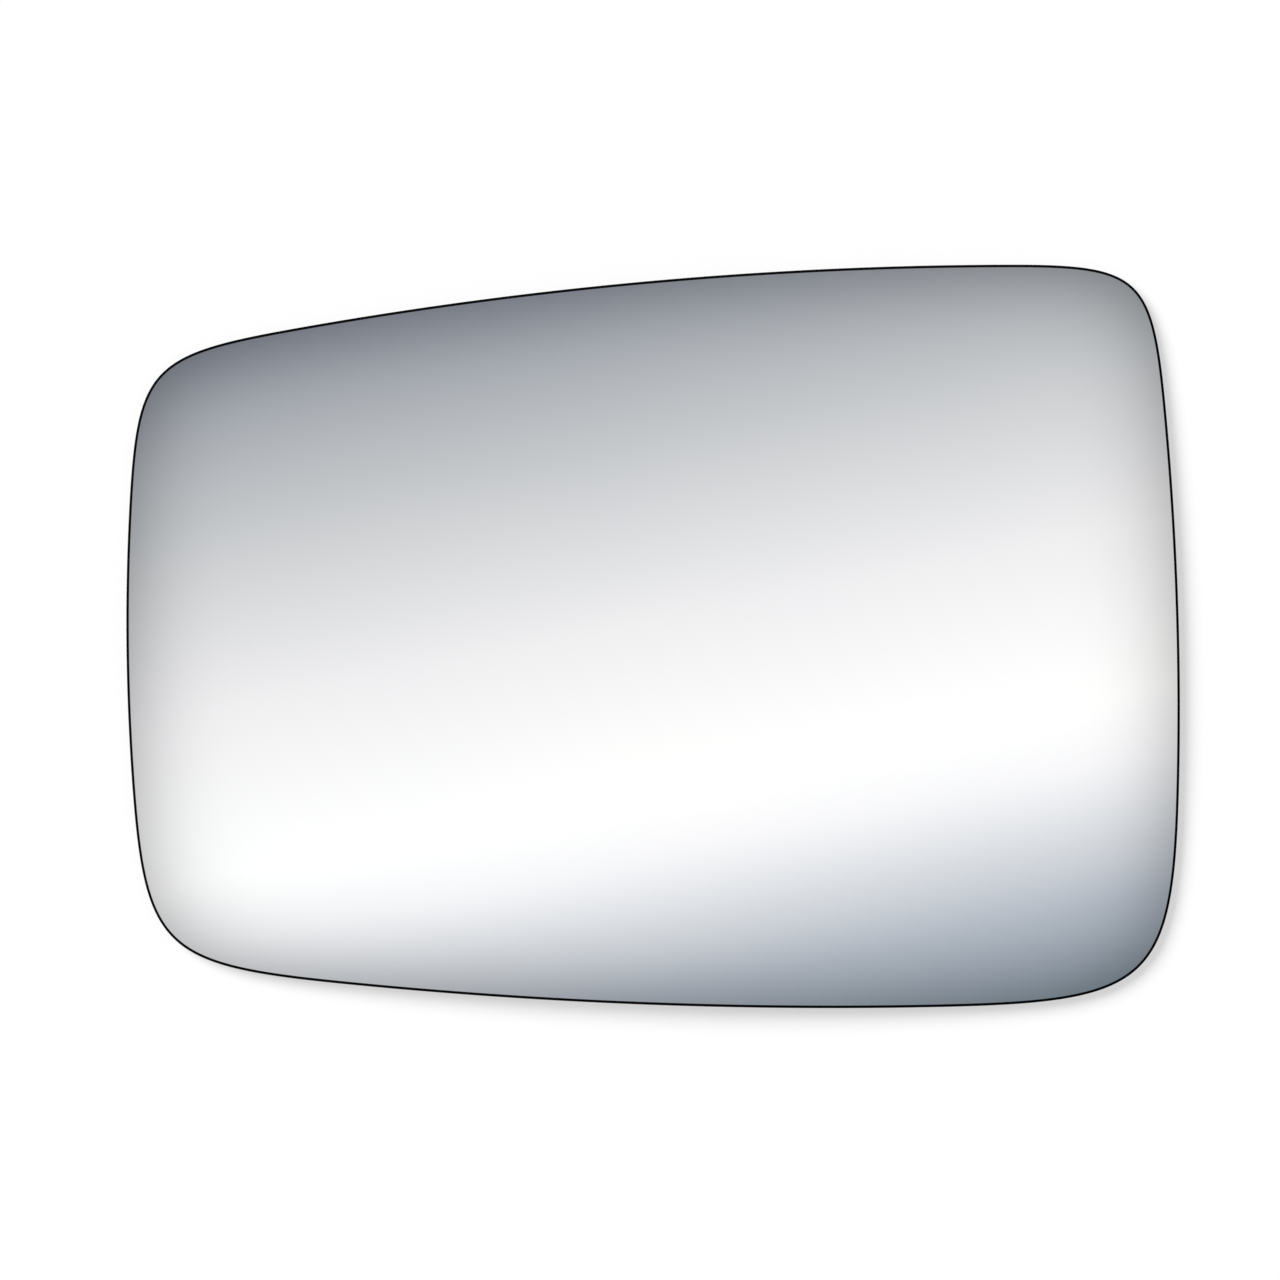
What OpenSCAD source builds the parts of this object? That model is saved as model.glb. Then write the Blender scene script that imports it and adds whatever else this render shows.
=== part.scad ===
// Glass of a car's outside door mirror, left door, lying on its back with the
// reflecting face up. Millimetres.
// X runs along the pane from its outboard end to its inboard end, beside the door.
// Y runs up the door, and Z out of the reflecting face, towards the driver.
// The origin is under the middle of the pane, on the surface that it lies on.

/* [Outline] */
// Distance between the two lower corner points, along the pane
base_w = 159; // [130:0.5:190]
// Height of the outboard end, from corner point to corner point
outboard_h = 94.4; // [85:0.2:130]
// Rise of the top edge from the outboard to the inboard corner point
top_rise = 14.4; // [0:0.2:30]
// Fall of the bottom edge from the outboard to the inboard corner point
bottom_drop = 5.6; // [0:0.2:20]
// How far the upper inboard corner point lies in from the lower one
inboard_lean = 2.8; // [-10:0.2:10]
// How far the upper outboard corner point lies out from the lower one
outboard_lean = 1.6; // [-10:0.2:10]

/* [Bow of each edge] */
// Bow of the top edge, out of the straight line between its corner points
top_bow = 4.8; // [1:0.2:10]
// Bow of the inboard edge
inboard_bow = 3.2; // [1:0.2:10]
// Bow of the bottom edge
bottom_bow = 4; // [1:0.2:10]
// Bow of the outboard edge
outboard_bow = 3.2; // [1:0.2:10]

/* [Corners] */
// Length that the upper outboard corner takes from both its edges
upper_outboard_reach = 23.5; // [12:0.5:40]
// Length that the upper inboard corner takes from both its edges
upper_inboard_reach = 22; // [12:0.5:40]
// Length that the lower inboard corner takes from both its edges
lower_inboard_reach = 35.5; // [12:0.5:40]
// Length that the lower outboard corner takes from both its edges
lower_outboard_reach = 29.5; // [12:0.5:40]
// Fullness of the corners: a larger share keeps each edge's line for longer
corner_fullness = 0.92; // [0.6:0.01:0.95]

/* [Glass] */
// Thickness of the glass
glass_t = 2.1; // [1.6:0.1:4]
// Radius of the convex bend, to the middle of the thickness
bend_r = 1400; // [1000:50:3000]
// Width of the small bevel ground along both rims, at 45 degrees
arris = 0.3; // [0.1:0.05:0.6]

/* [Hidden] */

// Straight pieces that stand in for each bowed edge and each rounded corner
edge_steps = 24;
corner_steps = 24;
// Steps of the search for the middle of the circle round the outline
circle_steps = 300;
// How far the grinding body stands past both faces of the glass
grind_over = 1;
// Facets round each sphere
sphere_facets = 720;

front_r = bend_r + glass_t / 2;
back_r = bend_r - glass_t / 2;

// Corner points, clockwise as seen on the reflecting face
lower_outboard = [0, 0];
upper_outboard = [-outboard_lean, outboard_h];
lower_inboard = [base_w, -bottom_drop];
upper_inboard = [base_w - inboard_lean, outboard_h + top_rise];
corners = [upper_outboard, upper_inboard, lower_inboard, lower_outboard];
bows = [top_bow, inboard_bow, bottom_bow, outboard_bow];
reaches = [upper_outboard_reach, upper_inboard_reach, lower_inboard_reach, lower_outboard_reach];

// Each place on the outline is a pair: the point, and the direction of travel there.
// Travel is clockwise, so the outside is always on its left.
function left_of(v) = [-v[1], v[0]];
function unit(v) = v / norm(v);
function turned(v, angle) =
    [v[0] * cos(angle) - v[1] * sin(angle), v[0] * sin(angle) + v[1] * cos(angle)];

// Edge i is an arc from corner i to the next corner, bowed outwards.
function edge_chord(i) = corners[(i + 1) % 4] - corners[i];
function edge_r(i) = (pow(norm(edge_chord(i)) / 2, 2) + pow(bows[i], 2)) / (2 * bows[i]);
function edge_half_angle(i) = asin(norm(edge_chord(i)) / 2 / edge_r(i));
function edge_centre(i) =
    (corners[i] + corners[(i + 1) % 4]) / 2
    + left_of(unit(edge_chord(i))) * (bows[i] - edge_r(i));
// Place on edge i at an angle from its middle, clockwise
function edge_place(i, angle) = [
    edge_centre(i) + turned(left_of(unit(edge_chord(i))), -angle) * edge_r(i),
    turned(unit(edge_chord(i)), -angle)
];
// Angle that a length along edge i spans
function edge_angle(i, length) = length / edge_r(i) * 180 / PI;
function edge_start(i) = edge_angle(i, reaches[i]) - edge_half_angle(i);
function edge_end(i) = edge_half_angle(i) - edge_angle(i, reaches[(i + 1) % 4]);
function edge_places(i) = [
    for (k = [1:edge_steps - 1])
        edge_place(i, edge_start(i) + (edge_end(i) - edge_start(i)) * k / edge_steps)
];

// Where the lines through two places, along their directions, cross
function crossing(p, q) =
    let (side = left_of(q[1]))
    p[0] + p[1] * ((q[0] - p[0]) * side) / (p[1] * side);
// Corner i is a cubic curve from the edge before it to the edge after it. It leaves each
// edge along that edge's own direction, aimed at the point where the directions cross.
function cubic(a, b, c, d, t) =
    pow(1 - t, 3) * a + 3 * pow(1 - t, 2) * t * b + 3 * (1 - t) * t * t * c + pow(t, 3) * d;
function cubic_direction(a, b, c, d, t) =
    unit(pow(1 - t, 2) * (b - a) + 2 * (1 - t) * t * (c - b) + t * t * (d - c));
function corner_places(i) =
    let (
        from = edge_place((i + 3) % 4, edge_end((i + 3) % 4)),
        to = edge_place(i, edge_start(i)),
        tip = crossing(from, to),
        b = from[0] + (tip - from[0]) * corner_fullness,
        c = to[0] + (tip - to[0]) * corner_fullness
    )
    [
        for (k = [0:corner_steps])
            let (t = k / corner_steps)
            [cubic(from[0], b, c, to[0], t), cubic_direction(from[0], b, c, to[0], t)]
    ];

outline = [for (i = [0:3]) each concat(corner_places(i), edge_places(i))];
outline_points = [for (place = outline) place[0]];

// The pane lies on the corners that reach furthest out, so its bend is level over the
// middle of the smallest circle round the outline. Each step moves a little less far
// towards the point that is furthest away.
function distances(from) = [for (p = outline_points) norm(p - from)];
function furthest_from(from) =
    let (d = distances(from))
    outline_points[search(max(d), d)[0]];
function circle_middle(guess, step = 1) =
    step > circle_steps
        ? guess
        : circle_middle(guess + (furthest_from(guess) - guess) / (step + 1), step + 1);
xs = [for (p = outline_points) p[0]];
ys = [for (p = outline_points) p[1]];
box_middle = [min(xs) + max(xs), min(ys) + max(ys)] / 2;
bend_middle = circle_middle(box_middle);

// A point of the pane: inset from the outline, measured from the middle of the bend, and
// raised square to the bent surface. The bend's middle surface has its crown at the origin.
function pane_point(place, inset, raise) =
    let (
        flat = place[0] - left_of(place[1]) * inset - bend_middle,
        up = sqrt(bend_r * bend_r - flat * flat)
    )
    [flat[0], flat[1], up] * (bend_r + raise) / bend_r - [0, 0, bend_r];

// Section of the ground edge, from below the back face to above the front face, as pairs
// of inset and raise. The wall is square to the glass, and each bevel runs on past the
// face that it meets.
edge_section = [
    [arris + grind_over, -glass_t / 2 - grind_over],
    [0, -glass_t / 2 + arris],
    [0, glass_t / 2 - arris],
    [arris + grind_over, glass_t / 2 + grind_over]
];

// Height of the crown over the lowest place on the back face, at its rim
back_rim_z = min([for (place = outline) pane_point(place, arris, -glass_t / 2)[2]]);

// Two spheres about one centre leave a sheet of even thickness, as a slumped glass has.
// Their poles are turned down to the horizon, away from the pane.
module bent_sheet() {
    translate([0, 0, -bend_r])
    rotate([90, 0, 0])
    difference() {
        sphere(r = front_r, $fn = sphere_facets);
        sphere(r = back_r, $fn = sphere_facets);
    }
}

// The body that the grinding wheel leaves standing: the edge's section carried along the
// outline. It closes in a shallow cone above the sheet, and in a point below it.
module ground_edge() {
    count = len(outline);
    rings = len(edge_section);
    walls = [
        for (section = edge_section)
            for (place = outline)
                pane_point(place, section[0], section[1])
    ];
    below = len(walls);
    above = below + 1;
    points = concat(walls, [[0, 0, 2 * back_rim_z], [0, 0, -2 * back_rim_z]]);
    faces = concat(
        [
            for (r = [0:rings - 2])
                for (k = [0:count - 1])
                    let (next = (k + 1) % count)
                    each [
                        [r * count + k, r * count + next, (r + 1) * count + next],
                        [r * count + k, (r + 1) * count + next, (r + 1) * count + k]
                    ]
        ],
        [for (k = [0:count - 1]) [below, (k + 1) % count, k]],
        [
            for (k = [0:count - 1])
                [above, (rings - 1) * count + k, (rings - 1) * count + (k + 1) % count]
        ]
    );
    polyhedron(points = points, faces = faces, convexity = 2);
}

module mirror_glass() {
    color([0.79, 0.83, 0.87])
    translate([bend_middle[0] - box_middle[0], bend_middle[1] - box_middle[1], -back_rim_z])
    intersection() {
        bent_sheet();
        ground_edge();
    }
}

mirror_glass();
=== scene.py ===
# %% [markdown]
# # A car's door mirror glass
#
# The object is one bare glass from a door mirror, lying face up: a pane about 165 mm wide
# and 2 mm thick, bent like the cap of a very large ball, mirrored, with a dark ground edge.
# A mirror has almost no colour of its own. What the eye sees in it is its surroundings, so
# half of this lesson is the glass and the other half is the studio that it reflects.

# %% Load the frame and measure its box
import math
import bpy
import numpy as np
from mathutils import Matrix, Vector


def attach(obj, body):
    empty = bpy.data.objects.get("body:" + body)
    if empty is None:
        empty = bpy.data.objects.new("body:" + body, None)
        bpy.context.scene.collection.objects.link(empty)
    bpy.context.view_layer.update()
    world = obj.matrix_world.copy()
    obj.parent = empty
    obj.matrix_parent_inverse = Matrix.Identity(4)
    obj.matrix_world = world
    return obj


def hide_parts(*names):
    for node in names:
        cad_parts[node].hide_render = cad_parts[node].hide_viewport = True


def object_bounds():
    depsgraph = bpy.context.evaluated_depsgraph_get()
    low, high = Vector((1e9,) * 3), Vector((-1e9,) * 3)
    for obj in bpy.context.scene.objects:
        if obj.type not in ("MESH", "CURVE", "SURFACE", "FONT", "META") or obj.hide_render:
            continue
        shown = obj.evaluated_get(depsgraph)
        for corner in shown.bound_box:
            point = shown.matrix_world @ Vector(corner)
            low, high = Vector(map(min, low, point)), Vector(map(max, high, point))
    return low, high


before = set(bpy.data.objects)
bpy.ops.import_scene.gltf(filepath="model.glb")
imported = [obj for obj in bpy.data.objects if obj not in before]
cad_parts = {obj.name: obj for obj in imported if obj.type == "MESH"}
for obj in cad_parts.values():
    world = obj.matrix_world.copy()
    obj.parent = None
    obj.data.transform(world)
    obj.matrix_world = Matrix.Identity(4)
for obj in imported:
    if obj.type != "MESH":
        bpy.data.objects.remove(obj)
cad_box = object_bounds()
MM = 0.001
cad_size = np.array(cad_box[1] - cad_box[0]) / MM
print("CAD box in mm:", cad_size.round(2).tolist())

# %% [markdown]
# ## Reading the bend off the frame
#
# The CAD pane is exact, but its mesh is flat triangles, and a mirror shows every one of
# them. A finer mesh is needed that lies on the same surfaces. Its sizes could be typed in
# again, but then they could drift from the part. They are measured instead: the front
# face is a piece of a ball, so a least squares fit gives the ball, and every vertex of the
# pane then lies at one of four distances from its centre. Those are the back face, the two
# rims of the straight edge wall, and the front face.


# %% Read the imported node's triangles
def mesh_arrays(mesh):
    """Vertices as (n, 3) and triangles as (m, 3) whole arrays."""
    points = np.empty(len(mesh.vertices) * 3)
    mesh.vertices.foreach_get("co", points)
    mesh.calc_loop_triangles()
    triangles = np.empty(len(mesh.loop_triangles) * 3, int)
    mesh.loop_triangles.foreach_get("vertices", triangles)
    return points.reshape(-1, 3), triangles.reshape(-1, 3)


cad_points, cad_triangles = mesh_arrays(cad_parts["mirror_glass"].data)
print("packed node:", len(cad_points), "points and", len(cad_triangles), "triangles")


# %% Fit the ball that the front face belongs to
def unit(vectors):
    """Each vector divided by its own length."""
    return vectors / np.linalg.norm(vectors, axis=-1, keepdims=True)


def ball_through(points):
    """Centre and radius of the ball whose surface is nearest to the points. For a centre c
    and radius r, |p|^2 = 2 c.p + (r^2 - |c|^2), which is linear in c and in the bracket."""
    rows = np.column_stack([2 * points, np.ones(len(points))])
    answer = np.linalg.lstsq(rows, (points**2).sum(1), rcond=None)[0]
    centre = answer[:3]
    return centre, math.sqrt(answer[3] + centre @ centre)


# The bend tips the front face by less than 4 degrees, and the bevel leans by 45.
FACE_UP = 0.99
corners = cad_points[cad_triangles]
normals = unit(np.cross(corners[:, 1] - corners[:, 0], corners[:, 2] - corners[:, 0]))
front_triangles = cad_triangles[normals[:, 2] > FACE_UP]
ball, ball_r = ball_through(cad_points[np.unique(front_triangles)])
print("ball: centre in mm", (ball / MM).round(2).tolist(), "radius", round(ball_r / MM, 2))

# %% Sort the points into their four levels
LEVEL_GAP = 0.05 * MM
distance = np.linalg.norm(cad_points - ball, axis=1)
order = np.argsort(distance)
breaks = np.flatnonzero(np.diff(distance[order]) > LEVEL_GAP) + 1
levels = np.split(order, breaks)
back_r, wall_low_r, wall_high_r, front_r = [distance[level].mean() for level in levels]
glass_t = front_r - back_r
bevel = front_r - wall_high_r
mid_r = (front_r + back_r) / 2
print("thickness", round(glass_t / MM, 3), "mm, wall", round((wall_high_r - wall_low_r) / MM, 3),
      "mm and bevel", round(bevel / MM, 3), "mm")

# %% [markdown]
# ## A smooth outline
#
# The upper rim of the edge wall gives the outline, as a ring of points. Straight lines
# between them would show as corners in the edge's highlight. A cubic between each two
# neighbours, with a direction at each point taken from the points on both sides, passes
# through all of them and bends smoothly in between.


# %% The outline through the rim's points
def smooth_loop(knots, steps):
    """A closed curve through the knots, (n, 2), with steps points for each knot. Between two
    knots it is the cubic that leaves and arrives along the direction of the parabola
    through each knot and its two neighbours."""
    after = np.roll(knots, -1, axis=0) - knots
    gap = np.linalg.norm(after, axis=1, keepdims=True)
    before, gap_before = np.roll(after, 1, axis=0), np.roll(gap, 1, axis=0)
    slope = (after / gap * gap_before + before / gap_before * gap) / (gap + gap_before)
    t = (np.arange(steps) / steps)[None, :, None]
    start, end = knots[:, None], np.roll(knots, -1, axis=0)[:, None]
    leave = (slope * gap)[:, None]
    arrive = (np.roll(slope, -1, axis=0) * gap)[:, None]
    curve = (
        (2 * t**3 - 3 * t**2 + 1) * start
        + (t**3 - 2 * t**2 + t) * leave
        + (3 * t**2 - 2 * t**3) * end
        + (t**3 - t**2) * arrive
    )
    return curve.reshape(-1, 2)


def outward_normals(loop):
    """Unit normals of a closed curve that runs anticlockwise: each chord between the two
    neighbours of a point, turned a quarter turn to the right."""
    chord = np.roll(loop, -1, axis=0) - np.roll(loop, 1, axis=0)
    return unit(np.stack([chord[:, 1], -chord[:, 0]], axis=1))


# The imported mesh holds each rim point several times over, so equal ones are taken once.
SAME_DECIMALS = 8
OUTLINE_STEPS = 4
rim = np.unique(cad_points[levels[2]].round(SAME_DECIMALS), axis=0)
flat_rim = (ball + unit(rim - ball) * mid_r)[:, :2]
middle = flat_rim.mean(0)
spokes = flat_rim - middle
flat_rim = flat_rim[np.argsort(np.arctan2(spokes[:, 1], spokes[:, 0]))]
outline = smooth_loop(flat_rim, OUTLINE_STEPS)
outwards = outward_normals(outline)
# How far each point of the outline is from the middle, along its own normal
reach = ((outline - middle) * outwards).sum(1)
print("outline:", len(rim), "rim points made into", len(outline))

# %% [markdown]
# ## The pane as one closed grid
#
# The pane could be a flat plate bent by a modifier, but a mirror needs its faces exact, so
# each vertex is computed. Every ring of the grid is the outline, drawn in by some amount
# and raised by some amount from the middle of the bent sheet. Across a face the rings
# shrink towards the middle, close together near the rim and wider apart inside. Round the
# edge they follow a short section: face, bevel, wall, bevel, face, each corner eased with
# a tiny curve, as a grinding wheel leaves it.


# %% The edge's section, from the front face round to the back face
def eased(points, size, steps):
    """A path with each inner corner replaced by a small parabola, which starts and ends at
    the given distance from the corner."""
    corner = points[1:-1]
    enter = corner + unit(points[:-2] - corner) * size
    leave = corner + unit(points[2:] - corner) * size
    t = np.linspace(0, 1, steps)[None, :, None]
    curve = (1 - t) ** 2 * enter[:, None] + 2 * t * (1 - t) * corner[:, None] + t**2 * leave[:, None]
    return np.vstack([points[:1], curve.reshape(-1, 2), points[-1:]])


# How far a corner is eased each way, and how far inside the bevel a face has its last ring
EASE = 0.05 * MM
EASE_STEPS = 3
FACE_MARGIN = 0.15 * MM
half_t = glass_t / 2
face_inset = bevel + FACE_MARGIN
sharp_section = np.array([
    [face_inset, half_t],
    [bevel, half_t],
    [0, half_t - bevel],
    [0, bevel - half_t],
    [bevel, -half_t],
    [face_inset, -half_t],
])
section = eased(sharp_section, EASE, EASE_STEPS)
print("edge section:", len(section), "points, each an inset from the outline and a raise")

# %% The rings of both faces and of the edge
FRONT_RINGS = 36
BACK_RINGS = 16
RING_POWER = 1.5


def on_bend(flat, raised):
    """Place of a point of the sheet: the flat point goes up to the middle of the bend, and
    from there along the ball's own radius by the amount raised."""
    from_axis = flat - ball[:2]
    height = np.sqrt(mid_r**2 - (from_axis**2).sum(-1, keepdims=True))
    radial = np.concatenate([from_axis, height], axis=-1) / mid_r
    return ball + radial * (mid_r + raised)


def face_rings(count, raised):
    """Rings from near the middle out to the rim, and the inset of their points. The share of
    the way out is 1 - s^p, with s falling evenly from 1 to 0. The inset is what is left of
    the reach, which near the rim is the true distance from it."""
    left = np.linspace(1, 0, count + 1)[1:, None] ** RING_POWER
    inner = outline - outwards * face_inset
    flat = middle + (inner - middle) * (1 - left)[..., None]
    return on_bend(flat, raised), left * (reach - face_inset) + face_inset


front, front_inset = face_rings(FRONT_RINGS, half_t)
back, back_inset = face_rings(BACK_RINGS, -half_t)
edge_flat = outline - outwards * section[1:-1, :1, None]
edge = on_bend(edge_flat, section[1:-1, 1:, None])
edge_inset = np.repeat(section[1:-1, :1], len(outline), axis=1)
rings = np.concatenate([front, edge, back[::-1]])
ring_inset = np.concatenate([front_inset, edge_inset, back_inset[::-1]])
poles = on_bend(np.array([middle, middle]), np.array([[half_t], [-half_t]]))
print("grid:", rings.shape[0], "rings of", rings.shape[1], "points")

# %% [markdown]
# ## Faces, finishes and coordinates
#
# Neighbouring rings are joined by quads, and each face closes on its middle point with
# triangles, so the pane is one closed skin. It has three finishes, so each face of the mesh
# carries the number of its material. Three things are stored for the materials to read.
# Each vertex keeps its distance from the rim. A UV map holds metres, along the edge and up
# it on the ground wall, and across the pane on both faces. And each vertex of the silvered
# face keeps a share for a painted shade: how much of a soft patch round it lies on the pane.
# The face is painted darker where the share is small, near the rim, and most in a corner,
# which the rim closes in from two sides.


# %% Join the rings
def joined_rings(ring_count, around):
    """Corner numbers of the quads between neighbouring rings, and of the triangles that
    close both ends. Vertex r * around + k is point k of ring r, and the two poles follow."""
    k = np.arange(around)
    after = (k + 1) % around
    ring = np.arange(ring_count - 1)[:, None] * around
    quads = np.stack([ring + k, ring + around + k, ring + around + after, ring + after], -1)
    last = (ring_count - 1) * around
    first_pole = ring_count * around
    top = np.stack([np.full(around, first_pole), k, after], -1)
    bottom = np.stack([np.full(around, first_pole + 1), last + after, last + k], -1)
    return quads.reshape(-1, 4), top, bottom


quads, top, bottom = joined_rings(*rings.shape[:2])
vertices = np.concatenate([rings.reshape(-1, 3), poles])
mesh = bpy.data.meshes.new("mirror_pane")
mesh.from_pydata(vertices, [], [*quads.tolist(), *top.tolist(), *bottom.tolist()])
mesh.update()
print("pane:", len(mesh.vertices), "vertices and", len(mesh.polygons), "faces")

# %% Number the finishes
# The seal starts on the last ring of the front face, just inside the bevel, and ends at the
# middle of the last eased corner, where the back begins.
SILVERED, SEALED, PAINTED = range(3)
seal_start = len(front) - 1
seal_end = len(front) + len(edge) - 1 - EASE_STEPS // 2
strip = np.repeat(np.arange(len(rings) - 1), len(outline))
quad_finish = np.where(strip < seal_start, SILVERED, np.where(strip < seal_end, SEALED, PAINTED))
finish = np.concatenate([quad_finish, np.full(len(top), SILVERED), np.full(len(bottom), PAINTED)])
mesh.polygons.foreach_set("material_index", finish.astype(np.int32))
mesh.polygons.foreach_set("use_smooth", np.ones(len(finish), bool))
print("faces silvered, sealed and painted:", np.bincount(finish).tolist())


# %% Store the distance from the rim and the share for the painted shade
def painted_shade_share(places, rim_loop, spread):
    """Share of a soft round patch about each place that lies inside the rim loop, used for the
    painted shade of the silvered face. The patch thins with the distance r as exp(-r^2 / 2 s^2).
    Its share is the integral, over one turn of the rim loop about the place, of
    1 - exp(-r^2 / 2 s^2), divided by the turn."""
    to_rim = rim_loop - places[:, None]
    to_next = np.roll(to_rim, -1, axis=1)
    cross = to_rim[..., 0] * to_next[..., 1] - to_rim[..., 1] * to_next[..., 0]
    turned = np.arctan2(cross, (to_rim * to_next).sum(-1))
    inside = 1 - np.exp(-(to_rim**2).sum(-1) / (2 * spread**2))
    return ((inside + np.roll(inside, -1, axis=1)) / 2 * turned).sum(1) / (2 * math.pi)


def store_per_vertex(name, values):
    """A float attribute on the pane's vertices. Values that are missing are 1."""
    filled = np.ones(len(mesh.vertices), np.float32)
    filled[: len(values)] = values
    mesh.attributes.new(name, "FLOAT", "POINT").data.foreach_set("value", filled)


# Painted shade: the silvered face is coloured darker where less of the patch round a point lies on
# the pane, so along the rim and most in the corners.
SHADE_SPREAD = 7 * MM
shade_share = painted_shade_share(front[..., :2].reshape(-1, 2), flat_rim, SHADE_SPREAD)
store_per_vertex("rim_distance", ring_inset.ravel())
store_per_vertex("painted_shade_share", shade_share)
print("film share from", shade_share.min().round(2), "at a corner to", shade_share.max().round(2))

# %% Lay out the UV map in metres
# Lengths along the outline and round the section, each from its first point
edge_step = np.linalg.norm(np.roll(outline, -1, axis=0) - outline, axis=1)
along = np.concatenate([[0], np.cumsum(edge_step)])
section_step = np.linalg.norm(np.diff(section, axis=0), axis=1)
climb = np.concatenate([[0], np.cumsum(section_step)])
r, k = np.divmod(np.arange(len(quads)), len(outline))
quad_row = np.stack([r, r + 1, r + 1, r], 1) - len(front) + 1
quad_column = np.stack([k, k, k + 1, k + 1], 1)
edge_uv = np.stack([along[quad_column], climb[quad_row.clip(0, len(climb) - 1)]], -1)
across_uv = vertices[quads][..., :2]
quad_uv = np.where((quad_finish == SEALED)[:, None, None], edge_uv, across_uv)
cap_uv = vertices[np.concatenate([top, bottom])][..., :2]
uv = mesh.uv_layers.new(name="pane_metres")
uv.data.foreach_set("uv", np.concatenate([quad_uv.ravel(), cap_uv.ravel()]).astype(np.float32))
print("edge length", round(along[-1] / MM, 1), "mm")

# %% Make the pane's object, on its body and in place of its node
pane = bpy.data.objects.new("mirror_pane", mesh)
bpy.context.scene.collection.objects.link(pane)
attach(pane, "root")
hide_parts("mirror_glass")
print(pane.name, "rides on root and stands for mirror_glass")

# %% [markdown]
# ## Two effects that the finishes share
#
# A material in Blender is a graph of nodes. Two effects serve more than one finish, so each
# is a node group, built once and placed with its own values: a slow drift between two
# values, for haze, mottling and grind marks, and a fade that is strongest at the rim.


# %% Group: slow drift between two values
def feed(tree, made, inputs):
    """Gives a node's inputs, by name or number, a value or another node's output."""
    for socket, value in inputs.items():
        if isinstance(value, bpy.types.NodeSocket):
            tree.links.new(value, made.inputs[socket])
        else:
            made.inputs[socket].default_value = value


def node(tree, kind, inputs=None, **settings):
    """A new node with its settings and its inputs."""
    made = tree.nodes.new(kind)
    for name, value in settings.items():
        setattr(made, name, value)
    feed(tree, made, inputs or {})
    return made


def new_group(name, inputs, output):
    """An empty node group with named inputs and one float output, and its two end nodes. An
    input with a default value is a float, and one without is a vector."""
    group = bpy.data.node_groups.new(name, "ShaderNodeTree")
    for label, default in inputs.items():
        kind = "NodeSocketVector" if default is None else "NodeSocketFloat"
        socket = group.interface.new_socket(label, in_out="INPUT", socket_type=kind)
        if default is not None:
            socket.default_value = default
    group.interface.new_socket(output, in_out="OUTPUT", socket_type="NodeSocketFloat")
    return group, group.nodes.new("NodeGroupInput"), group.nodes.new("NodeGroupOutput")


# Blender's noise seldom leaves this range.
NOISE_LOW = 0.3
NOISE_HIGH = 0.7
drift_inputs = {"Vector": None, "Scale": 50.0, "Detail": 3.0, "Low": 0.0, "High": 1.0}
drift, given, result = new_group("drift", drift_inputs, "Value")
noise = node(drift, "ShaderNodeTexNoise", {
    "Vector": given.outputs["Vector"],
    "Scale": given.outputs["Scale"],
    "Detail": given.outputs["Detail"],
})
spread = node(drift, "ShaderNodeMapRange", {
    "Value": noise.outputs["Fac"],
    "From Min": NOISE_LOW,
    "From Max": NOISE_HIGH,
    "To Min": given.outputs["Low"],
    "To Max": given.outputs["High"],
})
feed(drift, result, {"Value": spread.outputs["Result"]})
print("group drift takes", ", ".join(drift_inputs))


# %% Group: a fade that is strongest at the rim
def maths(tree, operation, *values):
    """Output of a Math node."""
    return node(tree, "ShaderNodeMath", dict(enumerate(values)), operation=operation).outputs[0]


# The fade is strength * exp(-(distance / width)^2).
fade_inputs = {"Width": 0.005, "Strength": 0.2}
rim_fade, given, result = new_group("rim_fade", fade_inputs, "Fade")
rim_distance = node(rim_fade, "ShaderNodeAttribute", attribute_name="rim_distance").outputs["Fac"]
widths = maths(rim_fade, "DIVIDE", rim_distance, given.outputs["Width"])
squared = maths(rim_fade, "MULTIPLY", widths, widths)
bell = maths(rim_fade, "EXPONENT", maths(rim_fade, "MULTIPLY", squared, -1.0))
feed(rim_fade, result, {"Fade": maths(rim_fade, "MULTIPLY", bell, given.outputs["Strength"])})
print("group rim_fade takes", ", ".join(fade_inputs))

# %% [markdown]
# ## The silvered face
#
# Behind polished glass lies a metal film. It is fully metallic and very smooth, with the
# clear glass over it as the shader's coat. Its colour is painted darker towards the rim and
# most in the corners. This painted shade is a soft dark border that the eye takes for the
# pane's depth. A bump would wrinkle every reflection, so there is none: the faint haze of a
# wiped mirror is a small drift in roughness alone. Colours are written here as they look on a
# screen, 0 to 255, and turned into the linear values that a shader works with.


# %% Helpers: a screen colour, a new material and a group placed in it
def tone(red, green, blue):
    """Screen levels 0 to 255 as linear colour, by the sRGB curve."""
    level = np.array([red, green, blue]) / 255
    linear = np.where(level <= 0.04045, level / 12.92, ((level + 0.055) / 1.055) ** 2.4)
    return (*linear.tolist(), 1.0)


def mixed(tree, factor, first, second):
    """Colour between two colours."""
    inputs = {"Factor": factor, "A": first, "B": second}
    return node(tree, "ShaderNodeMix", inputs, data_type="RGBA").outputs["Result"]


def new_material(name):
    """A material, its node tree and its Principled shader."""
    material = bpy.data.materials.new(name)
    material.use_nodes = True
    return material, material.node_tree, material.node_tree.nodes["Principled BSDF"]


def placed(tree, group, **inputs):
    """Output of a group that is placed in a material."""
    return node(tree, "ShaderNodeGroup", inputs, node_tree=group).outputs[0]


def put_on(material, shader):
    """Adds a finish to the pane and prints what varies over its surface."""
    mesh.materials.append(material)
    varied = [socket.name for socket in shader.inputs if socket.is_linked]
    print("finish", len(mesh.materials) - 1, material.name, "varies in", ", ".join(varied))


print("screen level 128 is", round(tone(128, 128, 128)[0], 3), "in linear light")
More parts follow.
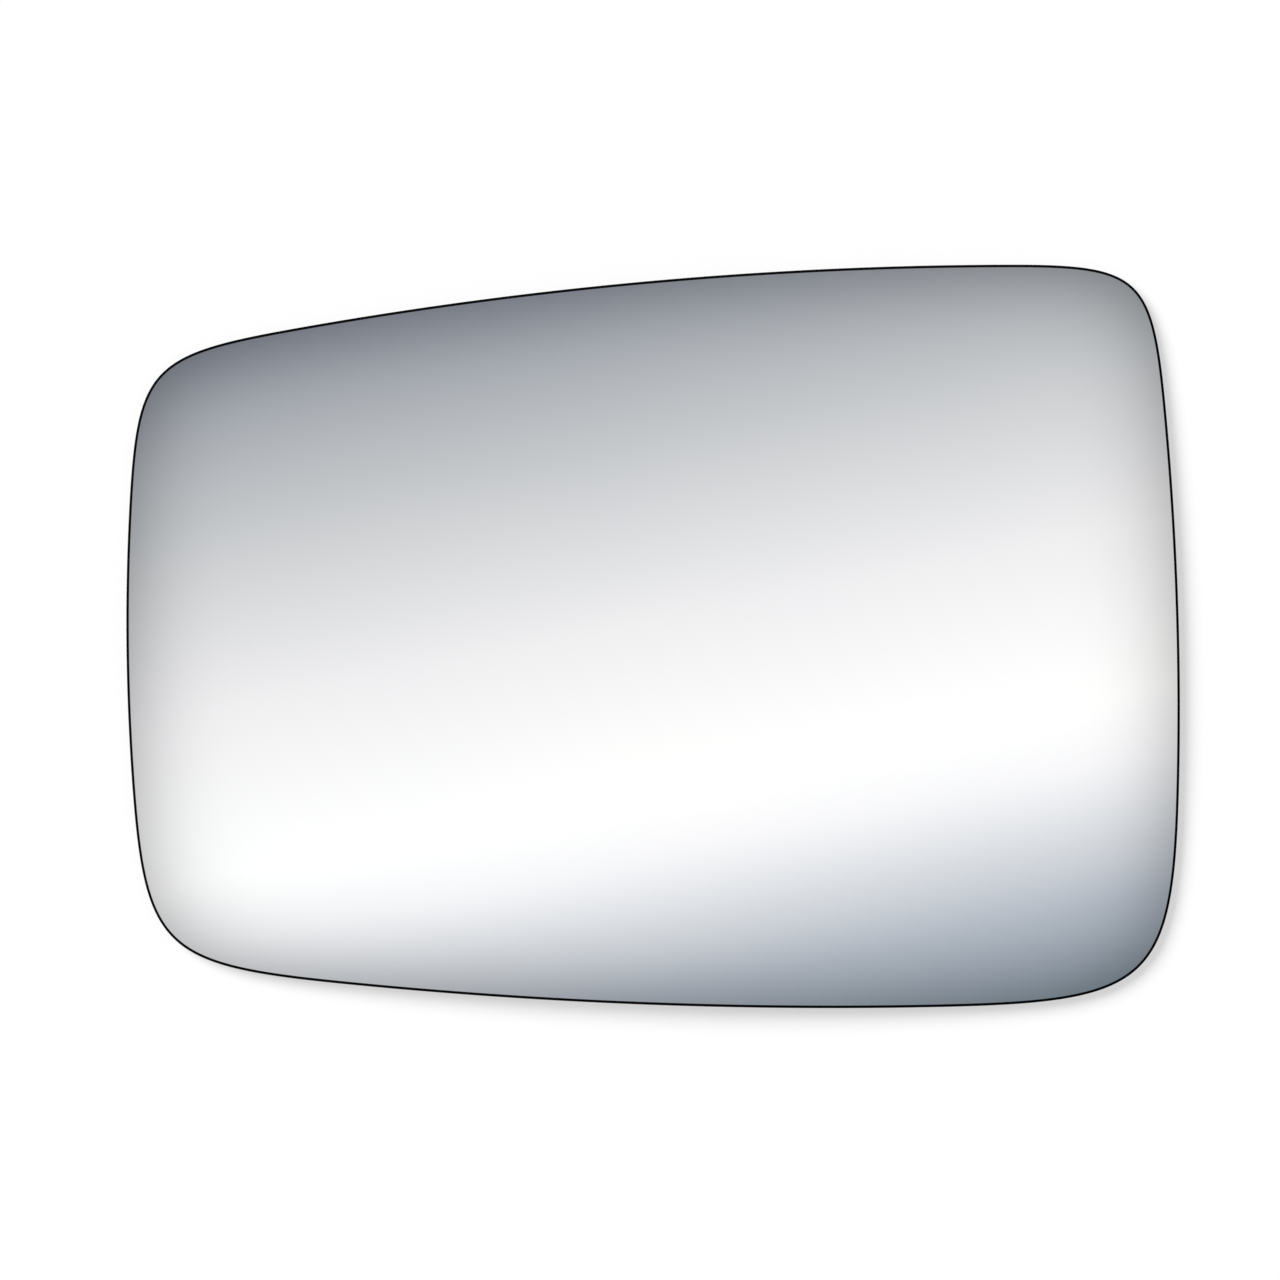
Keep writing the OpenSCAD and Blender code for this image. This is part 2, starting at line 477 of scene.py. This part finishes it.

# %% Finish 0: silvered face
# Depth of the painted shade at the rim: at a share s the base colour is scaled by 1 - depth + depth
# * s.
PAINTED_SHADE_DEPTH = 0.82
silver, tree, shader = new_material("silvered_face")
place = node(tree, "ShaderNodeTexCoord").outputs["Object"]
patches = placed(tree, drift, Vector=place, Scale=18.0, Detail=1.0)
film = mixed(tree, patches, tone(240, 241, 242), tone(242, 242, 242))
# Painted shade: the base colour is darkened near the rim by the stored share.
shade_share_read = node(tree, "ShaderNodeAttribute", attribute_name="painted_shade_share").outputs["Fac"]
shade_factor = maths(tree, "MULTIPLY_ADD", shade_share_read, PAINTED_SHADE_DEPTH, 1 - PAINTED_SHADE_DEPTH)
shaded_film = node(tree, "ShaderNodeVectorMath", {0: film, "Scale": shade_factor}, operation="SCALE")
haze = placed(tree, drift, Vector=place, Scale=60.0, Detail=5.0, Low=0.015, High=0.04)
feed(tree, shader, {
    "Base Color": shaded_film.outputs[0],
    "Roughness": haze,
    "Metallic": 1.0,
    "Coat Weight": 1.0,
    "Coat Roughness": 0.01,
    "Coat IOR": 1.52,
})
put_on(silver, shader)

# %% [markdown]
# ## The ground edge
#
# The rim is ground with a wet wheel and then sealed with a black lacquer, which is the
# thin dark line round the pane. The wheel's marks are too fine to model, so a bump shows
# them. They run along the edge, so the noise is read in the edge's own coordinates and
# stretched along them. The lacquer gathers on the wall and runs thin over the bevels, so
# the wall has a sheen, broken by the marks, and the bevels, which face the camera, have
# next to none. The sheen is the shader's coat, with a weight that ends at the bevels.

# %% Finish 1: sealed ground edge
MARK_STRETCH = (0.12, 1.0, 1.0)
MARK_DEPTH = 0.01 * MM
SHEEN_WIDTH = 0.05 * MM
seal, tree, shader = new_material("sealed_ground_edge")
edge_place = node(tree, "ShaderNodeUVMap", uv_map="pane_metres").outputs["UV"]
stretched = node(tree, "ShaderNodeMapping", {"Vector": edge_place, "Scale": MARK_STRETCH}).outputs[0]
marks = placed(tree, drift, Vector=stretched, Scale=9000.0, Detail=2.0)
lacquer = mixed(tree, marks, tone(5, 5, 6), tone(13, 13, 15))
gloss = placed(tree, drift, Vector=stretched, Scale=5000.0, Detail=2.0, Low=0.4, High=0.6)
on_wall = placed(tree, rim_fade, Width=SHEEN_WIDTH, Strength=1.0)
sheen = maths(tree, "MULTIPLY", on_wall, maths(tree, "MULTIPLY_ADD", marks, 0.5, 0.5))
scratches = node(tree, "ShaderNodeBump", {"Height": marks, "Distance": MARK_DEPTH, "Strength": 0.6})
feed(tree, shader, {
    "Base Color": lacquer,
    "Roughness": gloss,
    "Normal": scratches.outputs["Normal"],
    "Coat Weight": sheen,
    "Coat Roughness": 0.35,
    "Specular IOR Level": 0.0,
})
put_on(seal, shader)

# %% [markdown]
# ## The protective coat on the back
#
# The film is guarded by a matt grey paint, curtain-coated over the whole back. It could be
# a thin second shell, but it is a few hundredths of a millimetre thick and never seen
# apart from the glass, so it is a finish. It has the fine pebbled skin that such paint
# dries to, as a bump, and it runs thin over the rim's bevel.

# %% Finish 2: back paint
THIN_PAINT_WIDTH = 1.2 * MM
PEBBLE_DEPTH = 0.02 * MM
paint, tree, shader = new_material("back_paint")
place = node(tree, "ShaderNodeTexCoord").outputs["Object"]
mottle = placed(tree, drift, Vector=place, Scale=90.0, Detail=4.0, Low=0.0, High=0.7)
thin = placed(tree, rim_fade, Width=THIN_PAINT_WIDTH, Strength=0.5)
grey = mixed(tree, maths(tree, "ADD", mottle, thin), tone(70, 73, 77), tone(88, 91, 95))
matt = placed(tree, drift, Vector=place, Scale=400.0, Low=0.5, High=0.68)
pebble = placed(tree, drift, Vector=place, Scale=2200.0, Detail=2.0)
skin = node(tree, "ShaderNodeBump", {"Height": pebble, "Distance": PEBBLE_DEPTH, "Strength": 0.5})
feed(tree, shader, {"Base Color": grey, "Roughness": matt, "Normal": skin.outputs["Normal"]})
put_on(paint, shader)

# %% [markdown]
# ## The camera
#
# The photo looks straight at the face with next to no perspective. A camera without any
# would draw nearly the same outline, but what a mirror shows depends on where the eye is.
# So this one has a real place, high above the pane, and a long lens. The photo's pixels
# give the frame: the pane is about 1054 px wide of 1280, and its middle is a little right
# of and above the frame's.

# %% Place the camera over the pane
# The scale is right at about the rim's height, because the photo's outline is the rim.
FRAME_PX = 1280
PANE_WIDTH_PX = 1054.4
PANE_MIDDLE_PX = (653.1, 636.3)
CAMERA_HEIGHT = 1.2
SENSOR = 36.0
RIM_HEIGHT = 3 * MM
metres_per_px = (cad_box[1].x - cad_box[0].x) / PANE_WIDTH_PX
pane_middle = (cad_box[0] + cad_box[1]) / 2
camera_x = pane_middle.x + (FRAME_PX / 2 - PANE_MIDDLE_PX[0]) * metres_per_px
camera_y = pane_middle.y - (FRAME_PX / 2 - PANE_MIDDLE_PX[1]) * metres_per_px
camera_data = bpy.data.cameras.new("camera")
camera_data.sensor_width = SENSOR
camera_data.lens = SENSOR * (CAMERA_HEIGHT - RIM_HEIGHT) / (FRAME_PX * metres_per_px)
camera = bpy.data.objects.new("camera", camera_data)
camera.location = (camera_x, camera_y, CAMERA_HEIGHT)
bpy.context.scene.collection.objects.link(camera)
bpy.context.scene.camera = camera
print("camera: lens", round(camera_data.lens, 1), "mm,", round(MM / metres_per_px, 3), "px per mm")

# %% [markdown]
# ## What the mirror sees
#
# In the photo the face runs from slate at its top to white and back to slate in its lower
# right, in bands that climb a little to the right. That is a graduated reflector over the
# pane. It could be a mesh with a glowing material, but a far one needs no mesh: the world
# itself gives a colour for every direction, and only mirror rays ask for this part of it.
#
# For a pane with bend radius R under a camera at height D, a point at distance x from the
# axis is seen along a slope x / D and leans by x / R, so the mirror ray leaves it with the
# slope x (1 / D + 2 / R). The world divides a ray's x and y by its z, which is that slope,
# and so a length on the pane turns into a place on the card.

# %% A place on the card for every mirror ray
# Rays that rise less than this are taken to rise this much, so that nothing divides by zero.
LEAST_RISE = 0.05
BAND_CLIMB = math.radians(11.4)
slope_per_metre = 1 / CAMERA_HEIGHT + 2 / mid_r
world = bpy.data.worlds.new("studio")
bpy.context.scene.world = world
world.use_nodes = True
tree = world.node_tree
tree.nodes.clear()
direction = node(tree, "ShaderNodeTexCoord").outputs["Generated"]
axes = node(tree, "ShaderNodeSeparateXYZ", {"Vector": direction})
rise = maths(tree, "MAXIMUM", axes.outputs["Z"], LEAST_RISE)
slope_x = maths(tree, "DIVIDE", axes.outputs["X"], rise)
slope_y = maths(tree, "DIVIDE", axes.outputs["Y"], rise)
to_the_right = maths(tree, "MULTIPLY", slope_x, math.sin(BAND_CLIMB))
upwards = maths(tree, "MULTIPLY", slope_y, math.cos(BAND_CLIMB))
down_card = maths(tree, "SUBTRACT", to_the_right, upwards)
print("mirror ray slope per metre of pane:", round(slope_per_metre, 3))


# %% The graduated card
def colour_ramp(tree, factor, stops):
    """A Color Ramp node on a factor, with pairs of a position and screen levels."""
    ramp_node = node(tree, "ShaderNodeValToRGB", {"Fac": factor})
    elements = ramp_node.color_ramp.elements
    while len(elements) < len(stops):
        elements.new(0.5)
    for element, (position, screen_levels) in zip(elements, stops):
        element.position = position
        element.color = tone(*screen_levels)
    return ramp_node.outputs["Color"]


# Millimetres down the card, as they show on the pane, and the screen levels there
CARD_TONES = [
    (-60, (138, 144, 155)),
    (-34, (188, 191, 194)),
    (-2, (237, 236, 237)),
    (24, (254, 254, 253)),
    (34, (244, 244, 246)),
    (43, (218, 221, 225)),
    (56, (175, 182, 192)),
    (69, (136, 149, 160)),
]
CARD_START = -62 * MM
CARD_END = 72 * MM
on_card = node(tree, "ShaderNodeMapRange", {
    "Value": down_card,
    "From Min": CARD_START * slope_per_metre,
    "From Max": CARD_END * slope_per_metre,
})
card_length = CARD_END - CARD_START
card_stops = [((at * MM - CARD_START) / card_length, shown) for at, shown in CARD_TONES]
card = colour_ramp(tree, on_card.outputs["Result"], card_stops)
print("card:", len(card_stops), "tones over", round(card_length / MM), "mm of the pane")

# %% [markdown]
# ## The rest of the studio
#
# Away from the card the studio is light grey at the horizon and slate higher up, and tall
# soft lamps stand in a ring round the table. Real lamps and walls would do, but the mirror
# only asks for their colours, so the world gives these as well. They are what the pane
# shows from the side: bright bars with grey between them, which tell the eye that it is
# looking at a mirror. None of it is as bright as the floor, so the pane stands out from
# the floor all round.


# %% A ring of soft lamps
def smooth_step(tree, value, start, end):
    """0 before the start, 1 after the end and an even S between them."""
    inputs = {"Value": value, "From Min": start, "From Max": end}
    made = node(tree, "ShaderNodeMapRange", inputs, interpolation_type="SMOOTHSTEP")
    return made.outputs["Result"]


# The bearing is turned into a wave with one crest for each lamp, and a lamp is where the
# wave is high. Its foot and its head fade over a range of the ray's rise.
LAMPS = 16
LAMP_TURN = math.radians(4)
LAMP_EDGE = 0.35
LAMP_FOOT = (0.08, 0.18)
LAMP_HEAD = (0.93, 0.80)
LAMP_TONE = (228, 231, 234)
WALL_TONES = [
    (0.0, (208, 212, 218)),
    (0.12, (184, 190, 197)),
    (0.5, (158, 166, 176)),
    (0.95, (140, 148, 158)),
]
bearing = maths(tree, "ARCTAN2", axes.outputs["Y"], axes.outputs["X"])
wave = maths(tree, "COSINE", maths(tree, "MULTIPLY_ADD", bearing, LAMPS, LAMP_TURN * LAMPS))
across_lamp = smooth_step(tree, wave, -LAMP_EDGE, LAMP_EDGE)
above_foot = smooth_step(tree, axes.outputs["Z"], *LAMP_FOOT)
below_head = smooth_step(tree, axes.outputs["Z"], *LAMP_HEAD)
lamp = maths(tree, "MULTIPLY", maths(tree, "MULTIPLY", across_lamp, above_foot), below_head)
walls = mixed(tree, lamp, colour_ramp(tree, axes.outputs["Z"], WALL_TONES), tone(*LAMP_TONE))
print("lamps:", LAMPS, "one every", 360 / LAMPS, "degrees")

# %% Blend the card into the studio
CARD_REACH = (0.26, 0.60)
flat_slope = node(tree, "ShaderNodeCombineXYZ", {"X": slope_x, "Y": slope_y}).outputs[0]
far = node(tree, "ShaderNodeVectorMath", {0: flat_slope}, operation="LENGTH").outputs["Value"]
seen = mixed(tree, smooth_step(tree, far, *CARD_REACH), card, walls)
print("the card alone fills", round(CARD_REACH[0] / slope_per_metre / MM), "mm from the axis")


# %% Give each kind of ray its own world
def background(tree, colour, strength):
    """A world shader of one colour and strength."""
    return node(tree, "ShaderNodeBackground", {"Color": colour, "Strength": strength})


def chosen(tree, switch, when_off, when_on):
    """One of two shaders, by a switch that is 0 or 1."""
    inputs = {0: switch, 1: when_off.outputs[0], 2: when_on.outputs[0]}
    return node(tree, "ShaderNodeMixShader", inputs)


# The film and the glass give back about 88 % of the light. The gain makes up for that and
# a little more, so that the white of the card is plain white on the pane.
WHITE = (1, 1, 1, 1)
WHITE_GAIN = 1.17
AMBIENT = 0.22
rays = node(tree, "ShaderNodeLightPath").outputs
studio = background(tree, seen, WHITE_GAIN)
ambient = background(tree, WHITE, AMBIENT)
backdrop = background(tree, WHITE, 1.0)
by_gloss = chosen(tree, rays["Is Glossy Ray"], ambient, studio)
looked_at = maths(tree, "MAXIMUM", rays["Is Camera Ray"], rays["Is Transmission Ray"])
by_camera = chosen(tree, looked_at, by_gloss, backdrop)
node(tree, "ShaderNodeOutputWorld", {"Surface": by_camera.outputs[0]})
print("world: white for the camera, studio for mirror rays, ambient", AMBIENT, "for the rest")

# %% [markdown]
# ## Floor and key light
#
# The pane lies on a pale floor. The photo's shadow is soft and falls to the right and
# below, so a broad lamp stands to the upper left. An area lamp would fade across the floor,
# and a sun with a wide disc lights it evenly: a strength of E lights level white to
# E sin(height) / pi. More light could turn the floor plain white, but it would burn out the
# pane as well. So the floor is a mid grey that also glows where the eye or a mirror looks
# at it. Lit, it adds up to white, and where the pane hides the key it stays darker, which
# leaves the shadow.

# %% The key light
KEY_SHARE = 1 - AMBIENT
KEY_HEIGHT = math.radians(43)
KEY_SIDE = math.radians(143)
KEY_DISC = math.radians(36)
key_data = bpy.data.lights.new("key", "SUN")
key_data.energy = KEY_SHARE * math.pi / math.sin(KEY_HEIGHT)
key_data.angle = KEY_DISC
key = bpy.data.objects.new("key", key_data)
key.rotation_euler = (0, math.pi / 2 - KEY_HEIGHT, KEY_SIDE)
# The mirror sees the card and the studio, and not the key's own disc.
key.visible_glossy = False
bpy.context.scene.collection.objects.link(key)
print("key: strength", round(key_data.energy, 2), "and a share of", KEY_SHARE, "of the light")

# %% The floor
FLOOR_HALF = 3.0
FLOOR_COLOUR = 0.43
FLOOR_GLOW = 0.58
floor_corners = [(x, y, 0) for x, y in ((-1, -1), (1, -1), (1, 1), (-1, 1))]
floor_mesh = bpy.data.meshes.new("floor")
floor_mesh.from_pydata(np.array(floor_corners) * FLOOR_HALF, [], [(0, 1, 2, 3)])
floor = bpy.data.objects.new("floor", floor_mesh)
bpy.context.scene.collection.objects.link(floor)
floor_material, tree, shader = new_material("pale_floor")
floor_mesh.materials.append(floor_material)
rays = node(tree, "ShaderNodeLightPath").outputs
looked_at = maths(tree, "MAXIMUM", rays["Is Camera Ray"], rays["Is Transmission Ray"])
looked_at = maths(tree, "MAXIMUM", looked_at, rays["Is Glossy Ray"])
feed(tree, shader, {
    "Base Color": (FLOOR_COLOUR, FLOOR_COLOUR, FLOOR_COLOUR, 1),
    "Roughness": 0.9,
    "Specular IOR Level": 0.0,
    "Emission Color": WHITE,
    "Emission Strength": maths(tree, "MULTIPLY", looked_at, FLOOR_GLOW),
})
print("floor: lit", round(FLOOR_COLOUR + FLOOR_GLOW, 2), "and in full shadow",
      round(FLOOR_COLOUR * AMBIENT + FLOOR_GLOW, 2))

# %% [markdown]
# ## The view transform
#
# Blender's usual view transform holds bright scenes together by greying pale colours down.
# The one named Standard shows a colour as it is written, which suits a plain studio.

# %% Plain colours on screen
bpy.context.scene.view_settings.view_transform = "Standard"
print("view transform:", bpy.context.scene.view_settings.view_transform)
